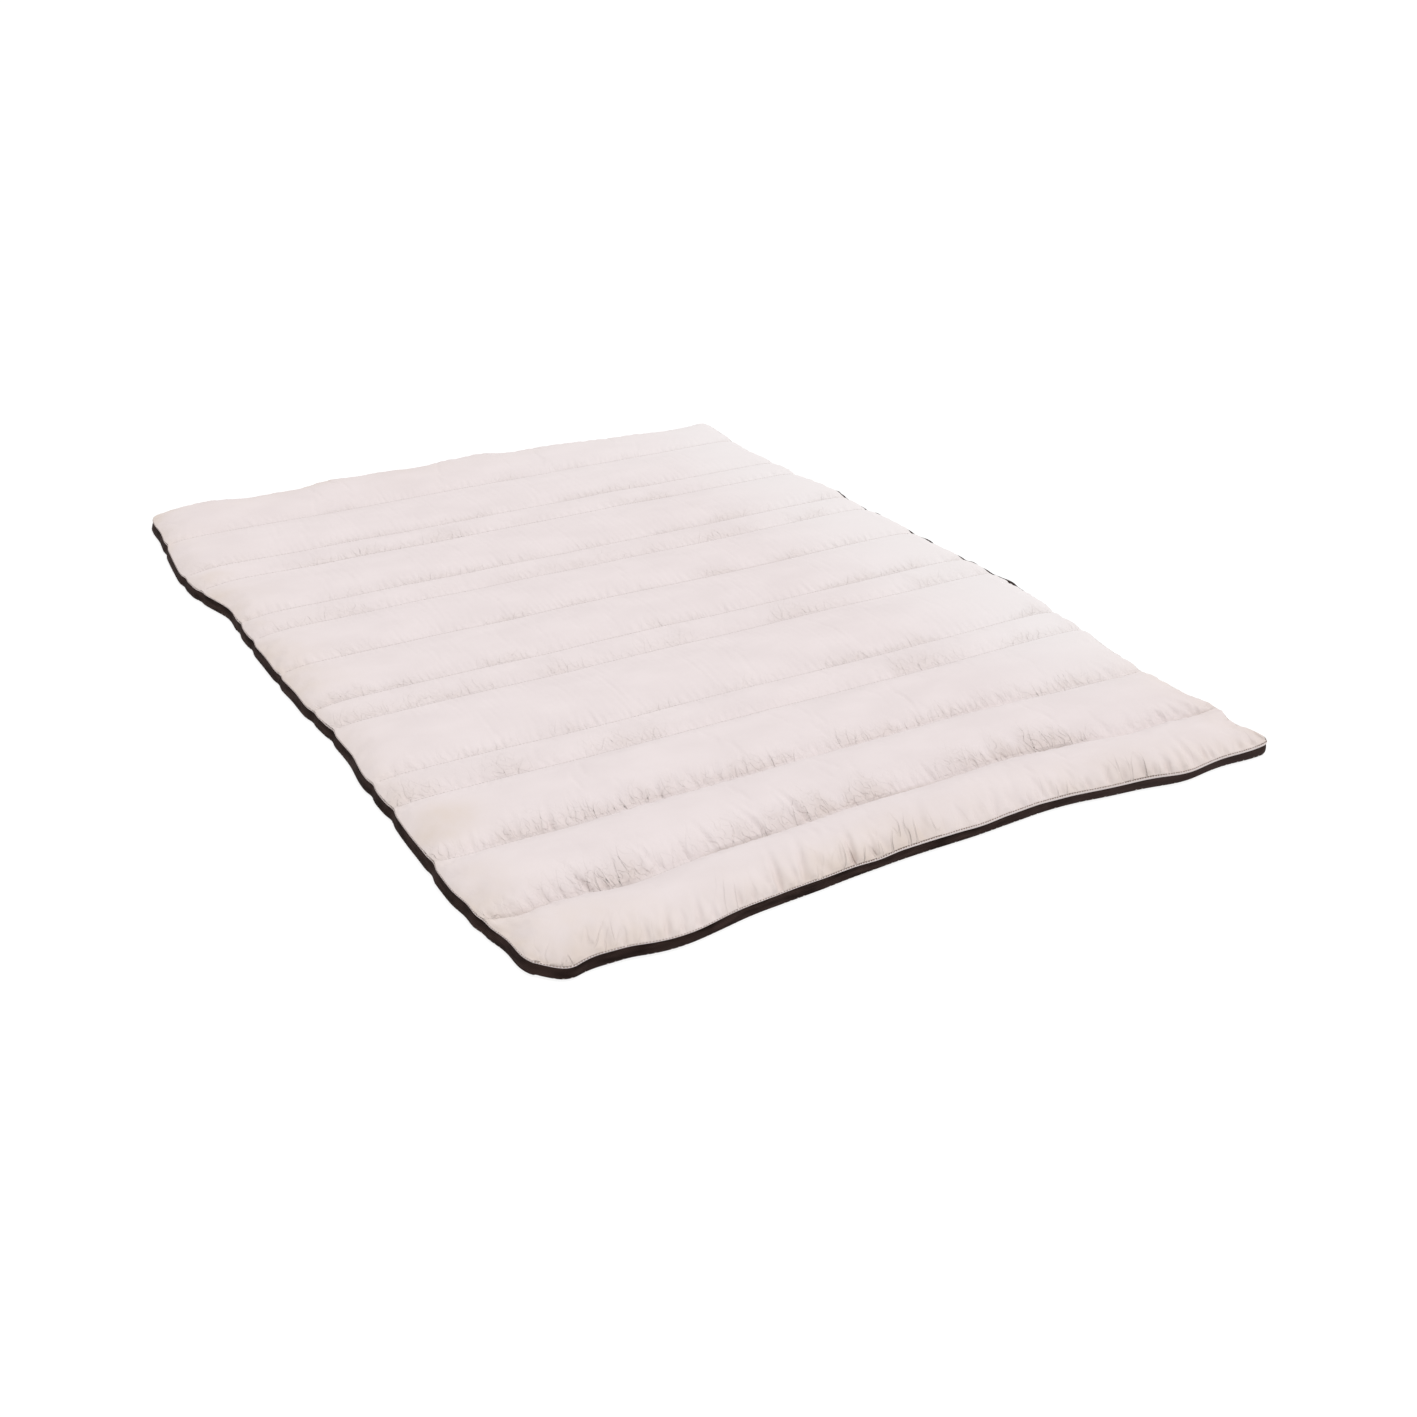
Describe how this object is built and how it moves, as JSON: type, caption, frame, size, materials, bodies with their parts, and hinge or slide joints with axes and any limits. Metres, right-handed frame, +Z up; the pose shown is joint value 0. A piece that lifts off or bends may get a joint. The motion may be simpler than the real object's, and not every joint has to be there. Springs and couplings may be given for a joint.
{
  "type": "futon mattress",
  "caption": "Thin channel-quilted futon mattress with a cream cotton cover and a dark brown side band; both ends fold onto the middle.",
  "frame": {"origin": "on the floor, under the middle of the pad", "axes": "+X along the quilting seams (the 1.4 m width), +Y from the near end to the far end (the 2.0 m length), +Z up"},
  "size_m": [1.4, 2, 0.046],
  "materials": {
    "cream_cotton": "matte woven cotton",
    "underside_cotton": "matte woven cotton",
    "brown_twill": "matte twill tape",
    "wadding": "loose cotton and wool fibre",
    "cream_thread": "twisted thread",
    "taupe_thread": "twisted thread"
  },
  "bodies": {
    "middle_panel": {"wadding_04": "wadding", "wadding_05": "wadding", "wadding_06": "wadding", "wadding_07": "wadding", "wadding_08": "wadding", "wadding_09": "wadding", "wadding_10": "wadding", "seam_stitch_03": "cream_thread", "seam_stitch_04": "cream_thread", "seam_stitch_05": "cream_thread", "seam_stitch_06": "cream_thread", "seam_stitch_07": "cream_thread", "seam_stitch_08": "cream_thread", "seam_stitch_09": "cream_thread", "seam_stitch_10": "cream_thread", "top_cover_middle": "cream_cotton", "bottom_cover_middle": "underside_cotton", "side_band_middle": "brown_twill", "lip_stitch_middle": "taupe_thread", "band_stitch_middle": "cream_thread"},
    "near_flap": {"wadding_01": "wadding", "wadding_02": "wadding", "wadding_03": "wadding", "seam_stitch_01": "cream_thread", "seam_stitch_02": "cream_thread", "top_cover_near": "cream_cotton", "bottom_cover_near": "underside_cotton", "side_band_near": "brown_twill", "lip_stitch_near": "taupe_thread", "band_stitch_near": "cream_thread"},
    "far_flap": {"wadding_11": "wadding", "wadding_12": "wadding", "wadding_13": "wadding", "seam_stitch_11": "cream_thread", "seam_stitch_12": "cream_thread", "top_cover_far": "cream_cotton", "bottom_cover_far": "underside_cotton", "side_band_far": "brown_twill", "lip_stitch_far": "taupe_thread", "band_stitch_far": "cream_thread"}
  },
  "joints": [
    {"name": "near_fold", "type": "hinge", "parent": "middle_panel", "child": "near_flap", "pos_m": [0, -0.49165, 0.0465], "axis": [-1, 0, 0], "range_deg": [0, 180]},
    {"name": "far_fold", "type": "hinge", "parent": "middle_panel", "child": "far_flap", "pos_m": [0, 0.52665, 0.0465], "axis": [1, 0, 0], "range_deg": [0, 180]}
  ]
}
